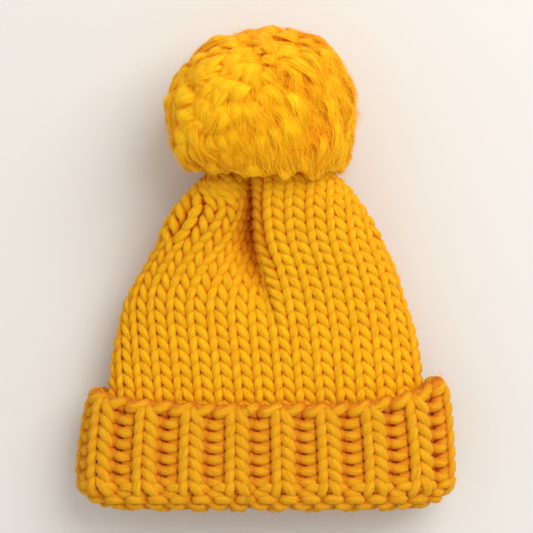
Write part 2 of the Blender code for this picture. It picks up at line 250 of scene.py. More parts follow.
def body_surface():
    """From inside the band up to the cinched top."""
    rings = []
    inset = BODY_FABRIC / 2
    start = np.concatenate(((BODY_START,), BODY_ROWS[0, 1:]))
    rows = np.vstack((start, BODY_ROWS))
    for row in smooth_rows(rows, np.linspace(BODY_START, BODY_ROWS[-1, 0], BODY_RINGS)):
        squareness = row[5]
        y, left, right, low, high, edge, pleat, flank, gathers = np.delete(row, 5) * MM

        def folded(x, z, centre_z, half_height):
            """The pleat in the front, with one steep wall, and shallow gathers behind."""
            valley = pleat_valley(x, edge, flank)
            on_top = smoothstep(centre_z, centre_z + 0.45 * half_height, z)
            behind = smoothstep(centre_z, centre_z - 0.6 * half_height, z)
            ripple = gathers * np.cos((x - edge) / GATHER_PITCH * 2 * math.pi)
            return z - pleat * valley * on_top + behind * (ripple + gathers)

        def front_spread(length):
            return float(np.clip(STITCHES * FRONT_STITCH / length - 1, 0.0, WIDEST_FRONT))

        rings.append(ring_points(
            y, left + inset, right - inset, max(low, 0.0) + inset, high - inset, squareness, edge,
            front_spread, shape=folded,
        ))
    return spaced_rows(rings, COURSE)


def band_surface():
    """Down the outside of the cuff from its cast-on edge, round the fold and up the inside of the band."""
    middle_inset = CUFF_FABRIC / 2
    inner_inset = middle_inset + 2 * FOLD_RADIUS
    fold_y = FOLD_RADIUS + YARN + STAND
    rings = []

    def ring(y, inset, lift=0.0, left=0.0, right=0.0):
        corner = CORNER_NARROWING * max(1 - y / CORNER_HEIGHT, 0.0) ** 2.2
        half = CUFF_HALF_WIDTH - inset - corner
        rings.append(ring_points(
            y, left - half, half - right, inset, CUFF_HEIGHT - inset, CUFF_SQUARENESS, RIB_ANCHOR_X,
            lambda length: BAND_SPREAD, -1, lift,
        ))

    for share in np.linspace(1, 0, 60):
        narrowing = (EDGE_NARROWING_LEFT * share ** 2, EDGE_NARROWING_RIGHT * share ** 2)
        ring(fold_y + (BAND_START_Y - fold_y) * share, middle_inset, share, *narrowing)
    for angle in np.linspace(0, math.pi, 24)[1:-1]:
        ring(fold_y - FOLD_RADIUS * math.sin(angle), middle_inset + FOLD_RADIUS * (1 - math.cos(angle)))
    for share in np.linspace(0, 1, 60):
        narrowing = INNER_NARROWING * share ** 2
        ring(fold_y + (INNER_END_Y - fold_y) * share, inner_inset, 0.0, narrowing, narrowing)
    return spaced_rows(rings, BAND_COURSE)


# ---- yarn ----


def uneven(count, strength, waves=9):
    """A smooth closed run of small random changes about 1, as in hand-drawn roving."""
    at = np.linspace(0, 2 * math.pi, count, endpoint=False)
    total = np.zeros(count)
    for _ in range(waves):
        total += np.sin(at * RANDOM.integers(20, 260) + RANDOM.uniform(0, 2 * math.pi))
    return 1 + strength * total / math.sqrt(waves / 2)


def unit(v):
    return v / (np.linalg.norm(v, axis=-1, keepdims=True) + 1e-12)


def resting(z):
    """Heights above the surface below: what would sink into it is pressed flat on it."""
    softness = 0.5 * MM
    return np.logaddexp(0, z / softness) * softness


class YarnMesh:
    """Gathers tubes of yarn into one mesh, with each point's place in the yarn kept for the wool's fibres."""

    def __init__(self):
        self.points, self.faces, self.fibres, self.shades, self.count = [], [], [], [], 0

    def tube(self, path, normals, radius, flat=1.0, closed=True, sides=YARN_SIDES, twist=0.0, depth=None):
        """A tube along a path. flat squeezes it across its normals; radius is a number or one for each point.
        depth says how far the path runs in front of the fabric's middle, for the painted shade of its
        creases."""
        count = len(path)
        if closed:
            tangent = np.roll(path, -1, axis=0) - np.roll(path, 1, axis=0)
            step = np.linalg.norm(path - np.roll(path, 1, axis=0), axis=1)
        else:
            tangent = np.gradient(path, axis=0)
            step = np.concatenate(([0.0], np.linalg.norm(np.diff(path, axis=0), axis=1)))
        tangent /= np.linalg.norm(tangent, axis=1, keepdims=True) + 1e-12
        side = np.cross(tangent, normals)
        side /= np.linalg.norm(side, axis=1, keepdims=True) + 1e-12
        out = np.cross(side, tangent)
        radius = np.asarray(radius, dtype=float)
        radius = radius[..., None] if radius.ndim == 2 else np.broadcast_to(radius, (count,))[:, None, None]
        flat = np.broadcast_to(flat, (count,))[:, None, None]
        angle = np.linspace(0, 2 * math.pi, sides, endpoint=False)[None, :, None]
        ring = np.cos(angle) * side[:, None, :] + flat * np.sin(angle) * out[:, None, :]
        self.points.append((path[:, None, :] + radius * ring).reshape(-1, 3))
        # painted shade: yarn that lies low between the loops is given a low shade, which paints it in the
        # crease colour
        if depth is None:
            self.shades.append(np.ones(count * sides))
        else:
            height = np.abs(depth[:, None] + (radius * flat)[..., 0] * np.sin(angle[..., 0]))
            self.shades.append(smoothstep(*CREASE_SHADE_HEIGHTS, height).ravel())
        along = np.cumsum(step)
        turn = angle[..., 0] + twist * along[:, None]
        lengthwise = np.broadcast_to(along[:, None] / YARN, turn.shape) + RANDOM.uniform(0, 500)
        fibre = np.stack((np.cos(turn), np.sin(turn), lengthwise), axis=2)
        self.fibres.append(fibre.reshape(-1, 3))
        i = np.arange(count if closed else count - 1)[:, None]
        j = np.arange(sides)[None, :]
        a = i * sides + j
        b = i * sides + (j + 1) % sides
        c = ((i + 1) % count) * sides + (j + 1) % sides
        d = ((i + 1) % count) * sides + j
        self.faces.append(np.stack((a, b, c, d), axis=2).reshape(-1, 4) + self.count)
        if not closed:
            self.caps(count, sides)
        self.count += count * sides

    def caps(self, count, sides):
        """Closes both ends of an open tube with fans of quads folded on their middles."""
        last = (count - 1) * sides
        for base, flip in ((0, True), (last, False)):
            for k in range(1, sides - 2, 2):
                quad = [base, base + k, base + k + 1, base + k + 2]
                self.faces.append(np.array([quad[::-1] if flip else quad]) + self.count)

    def hairs(self, lines, width, outward):
        """Many fine flat fibres that face outward: lines is (hair, point, xyz), width is (hair, point)."""
        hairs, count, _ = lines.shape
        tangent = unit(np.gradient(lines, axis=1))
        side = unit(np.cross(tangent, unit(outward + RANDOM.normal(scale=0.35, size=(hairs, 1, 3)))))
        side = side * width[..., None]
        self.points.append(np.stack((lines - side, lines + side), axis=2).reshape(-1, 3))
        fibre = np.zeros((hairs, count, 2, 3))
        fibre[..., 0] = RANDOM.uniform(0, 9, (hairs, 1, 1))
        fibre[..., 2] = RANDOM.uniform(0, 500, (hairs, 1, 1))
        self.fibres.append(fibre.reshape(-1, 3))
        self.shades.append(np.ones(hairs * count * 2))
        first = (np.arange(hairs)[:, None] * count + np.arange(count - 1)[None, :]) * 2
        quads = np.stack((first, first + 1, first + 3, first + 2), axis=2).reshape(-1, 4)
        self.faces.append(quads + self.count)
        self.count += hairs * count * 2

    def piece(self, name, material, shade_of=None):
        """The mesh as an object. shade_of gives new painted shades from the points and the tubes' own painted
        shades.
        """
        points, faces = np.vstack(self.points), np.vstack(self.faces)
        shades = np.concatenate(self.shades)
        shades = shades if shade_of is None else shade_of(points, shades)
        points[:, 2] = resting(points[:, 2])
        mesh = bpy.data.meshes.new(name)
        mesh.vertices.add(len(points))
        mesh.vertices.foreach_set("co", points.astype(np.float32).ravel())
        mesh.loops.add(faces.size)
        mesh.loops.foreach_set("vertex_index", faces.astype(np.int32).ravel())
        mesh.polygons.add(len(faces))
        mesh.polygons.foreach_set("loop_start", np.arange(0, faces.size, 4, dtype=np.int32))
        mesh.polygons.foreach_set("use_smooth", np.ones(len(faces), dtype=bool))
        mesh.update(calc_edges=True)
        mesh.validate()
        fibre = mesh.attributes.new("fibre", "FLOAT_VECTOR", "POINT")
        fibre.data.foreach_set("vector", np.vstack(self.fibres).astype(np.float32).ravel())
        # painted shade: 0 where the wool is painted in its darker crease colour, 1 where it keeps its own
        # colour
        shade = mesh.attributes.new("shade", "FLOAT", "POINT")
        shade.data.foreach_set("value", shades.astype(np.float32))
        obj = bpy.data.objects.new(name, mesh)
        mesh.materials.append(material)
        bpy.context.scene.collection.objects.link(obj)
        return obj


def stitch_places(front=None):
    """Where each stitch of a row begins. Beyond front stitches each side, one is knitted for two."""
    if front is None:
        return np.arange(STITCHES + 1.0)
    behind = np.arange(front + 2.0, STITCHES - front + 0.5, 2.0)
    return np.concatenate((np.arange(front + 1.0), behind, np.arange(STITCHES - front + 1.0, STITCHES + 0.5)))


def knit_row(yarn, surface, row, knit, places=None):
    """One course of loops. knit gives a stitch 1 where its legs face outwards and -1 where they face in."""
    places = stitch_places() if places is None else places
    stitches = len(places) - 1
    position = np.arange(stitches * POINTS_PER_STITCH) / POINTS_PER_STITCH
    stitch = position.astype(int)
    t = 2 * math.pi * (position - stitch) - math.pi
    facing = knit(stitch)
    alike = (knit((stitch + 1) % stitches) == facing) & (knit((stitch - 1) % stitches) == facing)
    crossing = np.where(alike, 1.0, 1 - smoothstep(0.55 * math.pi, math.pi, np.abs(t)))
    swung = position + LOOP_SWING * np.sin(2 * t) - LOOP_SKEW * np.cos(t)
    wrapped = np.concatenate((places[-2:-1] - STITCHES, places, STITCHES + places[1:2]))
    u = np.interp(swung, np.arange(-1, stitches + 2), wrapped)
    ladder = smoothstep(-0.5, 0.5, -facing * crossing)
    v = row + (LOOP_REACH + (PURL_REACH - LOOP_REACH) * np.where(alike, 0.0, ladder)) * np.cos(t)
    middle, normal, width = surface.at(u, v)
    squeeze = np.clip(width * np.diff(places)[stitch] / FRONT_STITCH, 0.42, 1.08)
    rib = np.where(alike, 0.0, facing * 0.45)
    depth = STAND * squeeze * (-facing * crossing * np.cos(2 * t) + rib * crossing)
    path = middle + normal * depth[:, None]
    radius = YARN * squeeze * uneven(len(position), 0.035)
    yarn.tube(path, normal, radius, flat=0.94, twist=90.0, depth=depth)


def rib(stitch):
    """Knit one, purl one."""
    return np.where(stitch % 2 == 0, 1, -1)


def knit(stitch):
    return np.ones_like(stitch)


def purl(stitch):
    return -np.ones_like(stitch)


def cast_on_chain(yarn, surface, row):
    """The chain along the free edge: one fat slanting link for each stitch, which tucks under the next."""
    per_link = 20
    count = STITCHES * per_link
    position = np.arange(count) / per_link
    phase = 2 * math.pi * position
    wander = 0.03 * np.sin(phase * 5 / STITCHES + 1.0)
    u = position + 0.135 * np.sin(phase) + wander
    v = row + 0.30 * np.sin(phase + 0.35) + 0.05 * np.sin(phase * 7 / STITCHES)
    middle, normal, width = surface.at(u, v)
    depth = 2.5 * MM * np.cos(phase)
    path = middle + normal * depth[:, None]
    yarn.tube(path, normal, 1.03 * YARN * uneven(count, 0.04), flat=0.95, twist=90.0, depth=depth)


# ---- the pompom ----

STRANDS = 560
STRAND_HAIRS = 95
LOOSEST_FIBRE = 5.2 * MM         # how far a fibre splays from its strand
STRAND_RADIUS = 5.6 * MM
STRAND_FLAT = 0.34               # the brushed strands lie flattened on one another
STRAND_POINTS = 14
STRAND_SIDES = 14
STRAND_WIDTHS = (0.65, 1.2)      # the thinnest and thickest, as shares of that radius
STRAND_LENGTHS = (0.95, 1.03)    # the shortest and longest, as shares of the pompom's radius
STRAND_BENDS = (0.35, 0.75)      # how far round the ball a strand is brushed, in radians
STRAND_START = 0.55              # where a strand comes into sight, as a share of the pompom's radius
TIP_DROP = 0.03                  # how far its tip lies back down, as such a share
COMBED_WIDTH = 0.8               # how wide the strands are where they are combed out,
PETAL_EXTRA = 0.75               # and how much is added to that where they end in petals
PETAL_BARENESS = 0.75            # the share of loose fibres that petals go without
HAIR_WIDTHS = (0.08 * MM, 0.17 * MM)
FUZZ_WIDTHS = (0.05 * MM, 0.11 * MM)
OUTER_SHARES = (0.92, 1.0)       # painted shade: the wool is painted lighter between these shares of the pompom's radius, darker further in
# within these heights above the crown the painted shade is lifted back to light where the strands are pressed
# on it
CROWN_CONTACT = (2.5 * MM, 8 * MM)
PACKED_SHARE = 0.935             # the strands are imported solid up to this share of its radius
FUZZ = 36000                     # short loose fibres over the whole ball
FUZZ_LENGTH = 9 * MM
CROWN_PROFILE = (                # the crown under the pompom: distance from its axis, and from the cinch
    np.array((0.0, 10.0, 19.0, 31.0, 43.0, 60.0)) * MM,
    np.array((1.5, 1.0, -3.0, -9.0, -17.0, -27.0)) * MM,
)
CROWN_FLATNESS = 1.35            # how many times wider than high the crown is under the pompom
PRESS = 0.8 * MM
PRESS_RIGHT = 2.5 * MM           # the pompom stands a little higher off the crown on its right
FRINGE = 1.6 * MM                # how ragged its edge is there
FLOOR_GAP = 0.6 * MM
UNDER_CROWN = -0.88              # no strand ends nearer than this to the gathered hole
CUT_WAVES = RANDOM.uniform(-9, 9, (6, 3))
CUT_PHASES = RANDOM.uniform(0, 2 * math.pi, 6)


def even_directions(count):
    """Directions spread evenly over a sphere whose pole is +Y."""
    k = np.arange(count) + 0.5
    height = 1 - 2 * k / count
    around = math.pi * (1 + math.sqrt(5)) * k
    flat = np.sqrt(1 - height ** 2)
    return np.stack((flat * np.cos(around), height, flat * np.sin(around)), axis=1)


class Swirl:
    """A smooth random field of directions: neighbouring strands lie nearly the same way."""

    def __init__(self, waves=7):
        self.pitch = RANDOM.uniform(-3.2, 3.2, (waves, 3))
        self.phase = RANDOM.uniform(0, 2 * math.pi, waves)
        self.push = unit(RANDOM.normal(size=(waves, 3)))

    def at(self, direction):
        strength = np.sin(direction @ self.pitch.T + self.phase)
        return strength @ self.push


def reach(direction):
    """How far the pompom reaches that way: it is clipped a little unevenly."""
    left, right = POMPOM_SQUARENESS
    power = left + (right - left) * smoothstep(-0.4, 0.4, direction[..., :1])
    shares = np.abs(direction / POMPOM_HALF) ** power
    uneven_cut = np.sin(direction @ CUT_WAVES.T + CUT_PHASES).sum(axis=-1, keepdims=True)
    return shares.sum(axis=-1, keepdims=True) ** (-1 / power) * (1 + 0.009 * uneven_cut)


def crown_under(points):
    """How far along Y the pompom has to start, over each point of the crown, with a ragged edge."""
    x, z = points[..., 0] - CINCH.x, (points[..., 2] - CINCH.z) * CROWN_FLATNESS
    ragged = FRINGE * (2 + np.sin(x / (3.1 * MM) + 0.7) + np.sin(x / (1.9 * MM) + z / (5 * MM)))
    crown = CINCH.y + np.interp(np.hypot(x, z), *CROWN_PROFILE) + PRESS + ragged
    return crown + PRESS_RIGHT * smoothstep(0, 40 * MM, x)


def pompom_shade(points):
    """Painted shade: dark between the strands, light at their ends and where they are pressed on the crown.
    """
    away = points - np.array(POMPOM_CENTRE)
    direction = unit(away)
    outer = smoothstep(*OUTER_SHARES, np.linalg.norm(away, axis=1) / reach(direction)[:, 0])
    # painted shade: towards the far end the strands stand on end and show their shaded sides, so they are
    # painted darker
    outer = outer * (1 - 0.3 * smoothstep(0.3, 1.0, direction[:, 1]))
    on_crown = 1 - smoothstep(*CROWN_CONTACT, points[:, 1] - crown_under(points))
    return np.maximum(outer, 0.8 * on_crown)


def pressed(points):
    """Keeps fluff off the floor and out of the crown."""
    crown = crown_under(points)
    points[..., 1] = crown + np.logaddexp(0, (points[..., 1] - crown) / (2 * MM)) * 2 * MM
    points[..., 2] = np.logaddexp(0, (points[..., 2] - MM) / MM) * MM + FLOOR_GAP
    return points


def petals(direction):
    """How far the strands end in broad petals there, from 0 to 1: fully so at the upper left."""
    return smoothstep(-0.5, 0.7, direction[..., 1] - direction[..., 0])


def strand_path(direction, flow, bend, length):
    """A cut strand that ends in the given direction: straight at first, then brushed over."""
    share = np.linspace(0, 1, STRAND_POINTS)[:, None]
    behind = bend * (1 - share ** 1.6)
    heading = np.cos(behind) * direction - np.sin(behind) * flow
    out = STRAND_START + (1 - STRAND_START) * smoothstep(0.0, 1.0, share * 1.35)
    out = out - TIP_DROP * smoothstep(0.75, 1.0, share)
    return np.array(POMPOM_CENTRE) + heading * out * length * reach(heading)


def add_strand(yarn, direction, flow):
    """One strand of roving: a ridged, flattened body with fine fibres along it and a brush at its end."""
    bend, length = RANDOM.uniform(*STRAND_BENDS), RANDOM.uniform(*STRAND_LENGTHS)
    petal = petals(direction)
    width = STRAND_RADIUS * RANDOM.uniform(*STRAND_WIDTHS) * (COMBED_WIDTH + PETAL_EXTRA * petal)
    share = np.linspace(0, 1, STRAND_POINTS)[:, None]
    path = strand_path(direction, flow, bend, length)
    for k in range(3):
        path = path + RANDOM.normal(scale=0.5 * MM, size=3) * np.sin(share * math.pi * (k + 1.5)) * share
    outward = unit(path - np.array(POMPOM_CENTRE))
    girth = width * (0.6 + 0.4 * smoothstep(0.1, 0.55, share)) * (1 - 0.85 * smoothstep(0.55, 1.0, share))
    around = np.arange(STRAND_SIDES)[None, :] * 2 * math.pi / STRAND_SIDES
    ridges = 0
    for k in (3, 5, 6):
        drift = RANDOM.uniform(0, 2 * math.pi) + share * RANDOM.normal(scale=0.8)
        ridges = ridges + RANDOM.uniform(0.03, 0.07) * np.cos(k * around + drift)
    yarn.tube(pressed(path.copy()), outward, girth * (1 + ridges), flat=STRAND_FLAT, closed=False,
              sides=STRAND_SIDES, twist=15.0)
    add_strand_hairs(yarn, path, outward, girth, LOOSEST_FIBRE * (1 - 0.75 * petal))


def add_strand_hairs(yarn, path, outward, girth, looseness):
    """Fine fibres laid along a strand, which splay past its end."""
    tangent = unit(np.gradient(path, axis=0))
    across = unit(np.cross(tangent, outward))
    over = np.cross(across, tangent)
    start = RANDOM.uniform(0.4, 0.8, (STRAND_HAIRS, 1))
    end = RANDOM.uniform(0.85, 1.12, (STRAND_HAIRS, 1))
    at = start + (end - start) * np.linspace(0, 1, 7)[None, :]
    knots = np.linspace(0, 1, STRAND_POINTS)

    def along(values):
        return np.stack([np.interp(at, knots, column) for column in values.T], axis=2)

    turn = RANDOM.uniform(0, 2 * math.pi, (STRAND_HAIRS, 1, 1))
    aside = np.cos(turn) * along(across) + STRAND_FLAT * np.sin(turn) * along(over)
    splay = smoothstep(0.5, 1.05, at)[..., None] * RANDOM.uniform(0, looseness, (STRAND_HAIRS, 1, 1))
    curl = RANDOM.normal(scale=0.6 * MM, size=(STRAND_HAIRS, 1, 3)) * np.sin((at - start) * 12)[..., None]
    past = np.maximum(at - 1, 0)[..., None] * 30 * MM
    lines = along(path) + along(tangent) * past + aside * (along(girth) * 1.02 + splay) + curl
    thin = RANDOM.uniform(*HAIR_WIDTHS, (STRAND_HAIRS, 1)) * (1 - 0.5 * smoothstep(0.5, 1.1, at))
    yarn.hairs(pressed(lines), thin, along(outward))


def add_fuzz(yarns, middles, swirl):
    """Short loose fibres brushed over the ball, shared out among the tufts that they grow from."""
    direction = unit(RANDOM.normal(size=(FUZZ, 3)))
    bare = (direction[:, 1] < -0.92) | (RANDOM.uniform(size=FUZZ) < PETAL_BARENESS * petals(direction))
    direction = direction[~bare]
    nearest = np.argmax(direction @ middles.T, axis=1)
    share = np.linspace(0, 1, 6)[None, :, None]
    for index, yarn in enumerate(yarns):
        root = direction[nearest == index]
        flow = np.array([lie_of_strands(d, swirl) for d in root])
        length = RANDOM.uniform(0.4, 1.0, (len(root), 1, 1)) * FUZZ_LENGTH
        lift = RANDOM.uniform(0.0, 0.75, (len(root), 1, 1)) * length
        start = np.array(POMPOM_CENTRE) + root * reach(root) * RANDOM.uniform(0.955, 1.0, (len(root), 1))
        curl = RANDOM.normal(scale=0.7 * MM, size=(len(root), 1, 3)) * np.sin(share * 7)
        lines = start[:, None, :] + flow[:, None, :] * length * share + curl
        lines = lines + root[:, None, :] * lift * (np.sin(share * 2.2) - 0.25 * share)
        thin = RANDOM.uniform(*FUZZ_WIDTHS, (len(root), 1)) * (1 - 0.5 * share[..., 0])
        yarn.hairs(pressed(lines), thin, root[:, None, :])


def lie_of_strands(direction, swirl):
    """The way a strand is laid over: leaning at the upper left, combed down at the right and the crown."""
    x, y, z = direction
    upper_left = float(smoothstep(-0.3, 0.6, y - x))
    near_crown = float(smoothstep(-0.25, -0.7, y))
    lie = 0.28 * swirl.at(direction) * np.array((1.0, 1.0, 0.3)) + RANDOM.normal(scale=0.3, size=3)
    lie = lie + upper_left * np.array((-0.8, -0.75, 0.0)) + (1 - upper_left) * np.array((0.3, -0.95, 0.0))
    lie = lie + near_crown * np.array((0.0, -1.2, 0.6 * z))
    return unit(lie - (lie @ direction) * direction)


def packed_middle(material):
    """The middle of the pompom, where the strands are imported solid, glimpsed only between their ends."""
    bpy.ops.mesh.primitive_ico_sphere_add(subdivisions=6, radius=1.0)
    ball = bpy.context.active_object
    ball.name = "packed_strands"
    ball.data.name = "packed_strands"
    count = len(ball.data.vertices)
    points = np.empty(count * 3, dtype=np.float32)
    ball.data.vertices.foreach_get("co", points)
    direction = unit(points.reshape(-1, 3).astype(float))
    lumps = np.zeros(count)
    for pitch in (9, 13, 17, 23, 29, 37):
        lumps += np.sin(direction @ unit(RANDOM.normal(size=3)) * pitch + RANDOM.uniform(0, 2 * math.pi))
    share = PACKED_SHARE + 0.010 * lumps[:, None]
    points = pressed(np.array(POMPOM_CENTRE) + direction * reach(direction) * share)
    ball.data.vertices.foreach_set("co", points.astype(np.float32).ravel())
    fibre = ball.data.attributes.new("fibre", "FLOAT_VECTOR", "POINT")
    fibre.data.foreach_set("vector", (direction * 14).astype(np.float32).ravel())
    # painted shade: the packed middle lies deep in the ball and is mostly painted in the crease colour
    shade = ball.data.attributes.new("shade", "FLOAT", "POINT")
    shade.data.foreach_set("value", pompom_shade(points).astype(np.float32))
    ball.data.polygons.foreach_set("use_smooth", np.ones(len(ball.data.polygons), dtype=bool))
    ball.data.materials.append(material)
    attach(ball, "pompom")


def pompom_strands(material):
    """Every strand, in one piece for each CAD tuft that it springs from."""
    tufts = sorted(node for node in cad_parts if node.startswith("tuft_"))
    middles = np.array([unit(np.array((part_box(n)[0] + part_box(n)[1]) / 2 - POMPOM_CENTRE)) for n in tufts])
    yarns = {node: YarnMesh() for node in tufts}
    swirl = Swirl()
    for direction in even_directions(STRANDS):
        direction = unit(direction + RANDOM.normal(scale=0.04, size=3))
        if direction[1] > UNDER_CROWN:
            nearest = tufts[int(np.argmax(middles @ direction))]
            add_strand(yarns[nearest], direction, lie_of_strands(direction, swirl))
    add_fuzz([yarns[node] for node in tufts], middles, swirl)
    for node, yarn in yarns.items():
        name = node.replace("tuft", "cut_strands")
        piece = yarn.piece(name, material, lambda points, _: pompom_shade(points))
        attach(piece, "pompom")
        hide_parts(node)


# ---- the gathering cord, and the tie that holds the pompom ----


def ringed(yarn, centre, ring_radius, radius, across, turns=1):
    """A ring of yarn round an axis, wound one or more times with each turn beside the last."""
    count = 60 * turns
    angle = np.linspace(0, 2 * math.pi * turns, count, endpoint=False)
    axis = unit(np.array(across, dtype=float))
    first = unit(np.cross(axis, (0.3, 0.2, 1.0)))
    second = np.cross(axis, first)
    wide = ring_radius * (1 + 0.03 * np.sin(angle * 3 / turns + 1))
    sideways = 0.0 if turns == 1 else 1.7 * radius * np.sin(angle / turns)
    outward = np.cos(angle)[:, None] * first + np.sin(angle)[:, None] * second
    beside = np.multiply.outer(np.broadcast_to(sideways, count), axis)
    path = np.array(centre) + wide[:, None] * outward + beside
    yarn.tube(path, outward, radius * uneven(count, 0.03), sides=12, twist=160.0)


def knotted(yarn, low, high, radius):
    """A pulled-tight knot that fills a box: the yarn crosses itself three times on its way round."""
    centre, half = (np.array(low) + np.array(high)) / 2, (np.array(high) - np.array(low)) / 2
    angle = np.linspace(0, 2 * math.pi, 90, endpoint=False)
    path = np.stack((
        (np.sin(angle) + 2 * np.sin(2 * angle)) / 2.6,
        (np.cos(angle) - 2 * np.cos(2 * angle)) / 2.6,
        -np.sin(3 * angle),
    ), axis=1)
    path = centre + path * np.maximum(half - radius, 0.2 * half) * (1.0, 1.0, 0.8)
    yarn.tube(path, unit(path - centre + 1e-6), radius * uneven(90, 0.03), sides=12, twist=160.0)


def straight(yarn, low, high, radius):
    """A short length of yarn along Y through a box."""
    middle = (low + high) / 2
    path = np.tile(middle, (16, 1))
    path[:, 1] = low.y + (high.y - low.y) * np.linspace(0, 1, 16)
    yarn.tube(path, np.tile((0.0, 0.0, 1.0), (16, 1)), radius * uneven(16, 0.03), closed=False, sides=12,
              twist=160.0)


def waist_of_strands(yarn, low, high):
    """The middles of the cut strands, squeezed side by side inside the binding."""
    centre, reach_x = (np.array(low) + np.array(high)) / 2, (high.x - low.x) / 2
    share = np.linspace(-1, 1, 18)
    for ring, count in ((0.0, 1), (0.36, 6), (0.78, 12)):
        for k in range(count):
            angle = 2 * math.pi * (k + ring) / count
            spread = ring * (high.z - low.z) / 2 * (0.56 + 0.34 * smoothstep(0.1, 0.6, np.abs(share)))
            path = centre + np.stack((
                reach_x * share, spread * math.cos(angle), spread * math.sin(angle)), axis=1)
            yarn.tube(path, np.tile((0.0, 0.0, 1.0), (18, 1)), 1.25 * MM, closed=False, sides=10, twist=60.0)


def tie_pieces():
    """One piece of yarn for each cord, knot and tail of the CAD model."""
    cord_radius = (cord_high.y - cord_low.y) / 2
    for node, body in (("gathering_cord", "hat"), ("gathering_knot", "hat"), ("tie_knot", "tie_knot"),
                       ("tie_tail_left", "tie_tails"), ("tie_tail_right", "tie_tails"),
                       ("tie_leg_left", "pompom"), ("tie_leg_right", "pompom"),
                       ("pompom_tie", "pompom"), ("strand_waist", "pompom")):
        low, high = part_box(node)
        middle, half = (low + high) / 2, (high - low) / 2
        yarn = YarnMesh()
        if node == "gathering_cord":
            ringed(yarn, middle, half.x - cord_radius, cord_radius, (0, 1, 0))
        elif node == "pompom_tie":
            ringed(yarn, middle, half.z - half.x, 0.55 * half.x, (1, 0, 0), turns=3)
        elif "knot" in node:
            knotted(yarn, low, high, 0.34 * half.x)
        elif node == "strand_waist":
            waist_of_strands(yarn, low, high)
        else:
            straight(yarn, low, high, half.z)
        wool, slot = (POMPOM_WOOL, "pompom_wool") if node == "strand_waist" else (TIE_WOOL, "tie_yarn")
        piece = yarn.piece(f"{node}_yarn", wool)
        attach(piece, body)
        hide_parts(node)


# ---- loose fibres on the knitting ----


HALO_LENGTH = 9 * MM
HALO_WIDTHS = (0.04 * MM, 0.09 * MM)


def halo(name, piece, count, material):
    """Fine flyaway fibres that start on a piece's own surface."""
    mesh = piece.data
    points = np.empty(len(mesh.vertices) * 3, dtype=np.float32)
    mesh.vertices.foreach_get("co", points)
    normals = np.empty(len(mesh.vertices) * 3, dtype=np.float32)
    mesh.vertex_normals.foreach_get("vector", normals)
    points, normals = points.reshape(-1, 3), normals.reshape(-1, 3)
    pick = RANDOM.integers(0, len(points), count)
    share = np.linspace(0, 1, 6)[None, :, None]
    out = unit(normals[pick] + RANDOM.normal(scale=0.35, size=(count, 3)))
    aside = unit(np.cross(out, RANDOM.normal(size=(count, 3))))[:, None, :]
    length = RANDOM.uniform(0.35, 1.0, (count, 1, 1)) * HALO_LENGTH
    lift = RANDOM.uniform(0.02, 0.7, (count, 1, 1)) ** 2 * length
    rise = np.sin(share * RANDOM.uniform(1.6, 3.0, (count, 1, 1)))
    lines = points[pick][:, None, :] + out[:, None, :] * lift * rise + aside * length * share
    lines = lines + RANDOM.normal(scale=0.3 * MM, size=(count, 1, 3)) * np.sin(share * 7)
    yarn = YarnMesh()
    width = RANDOM.uniform(*HALO_WIDTHS, (count, 1)) * (1 - 0.5 * share[..., 0])
    yarn.hairs(lines, width, out[:, None, :])
    fibres = yarn.piece(name, material)
    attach(fibres, "hat")


# ---- wool ----


def wool_fibres_group():
    """The lie of the fibres in roving: fine streaks along the yarn, and how high each one stands."""
    group = bpy.data.node_groups.new("wool_fibres", "ShaderNodeTree")
    face = group.interface
    for name, default in (("Fineness", 2.6), ("Length", 0.22)):
        socket = face.new_socket(name=name, in_out="INPUT", socket_type="NodeSocketFloat")
        socket.default_value = default
    face.new_socket(name="Streak", in_out="OUTPUT", socket_type="NodeSocketFloat")
    face.new_socket(name="Height", in_out="OUTPUT", socket_type="NodeSocketFloat")
    nodes, links = group.nodes, group.links
    inputs, outputs = nodes.new("NodeGroupInput"), nodes.new("NodeGroupOutput")
    place = nodes.new("ShaderNodeAttribute")
    place.attribute_name = "fibre"
    scale = nodes.new("ShaderNodeCombineXYZ")
    links.new(inputs.outputs["Fineness"], scale.inputs["X"])
    links.new(inputs.outputs["Fineness"], scale.inputs["Y"])
    links.new(inputs.outputs["Length"], scale.inputs["Z"])
    stretched = nodes.new("ShaderNodeVectorMath")
    stretched.operation = "MULTIPLY"
    links.new(place.outputs["Vector"], stretched.inputs[0])
    links.new(scale.outputs["Vector"], stretched.inputs[1])
    coarse = nodes.new("ShaderNodeTexNoise")
    coarse.inputs["Scale"].default_value = 1.0
    coarse.inputs["Detail"].default_value = 3.0
    coarse.inputs["Roughness"].default_value = 0.65
    links.new(stretched.outputs["Vector"], coarse.inputs["Vector"])
    fine = nodes.new("ShaderNodeTexNoise")
    fine.inputs["Scale"].default_value = 3.1
    fine.inputs["Detail"].default_value = 2.0
    links.new(stretched.outputs["Vector"], fine.inputs["Vector"])
    total = nodes.new("ShaderNodeMath")
    total.operation = "MULTIPLY_ADD"
    links.new(fine.outputs["Fac"], total.inputs[0])
    total.inputs[1].default_value = 0.5
    links.new(coarse.outputs["Fac"], total.inputs[2])
    links.new(total.outputs["Value"], outputs.inputs["Height"])
    spread = nodes.new("ShaderNodeMapRange")
    spread.inputs["From Min"].default_value = 0.52
    spread.inputs["From Max"].default_value = 0.98
    links.new(total.outputs["Value"], spread.inputs["Value"])
    links.new(spread.outputs["Result"], outputs.inputs["Streak"])
    return group


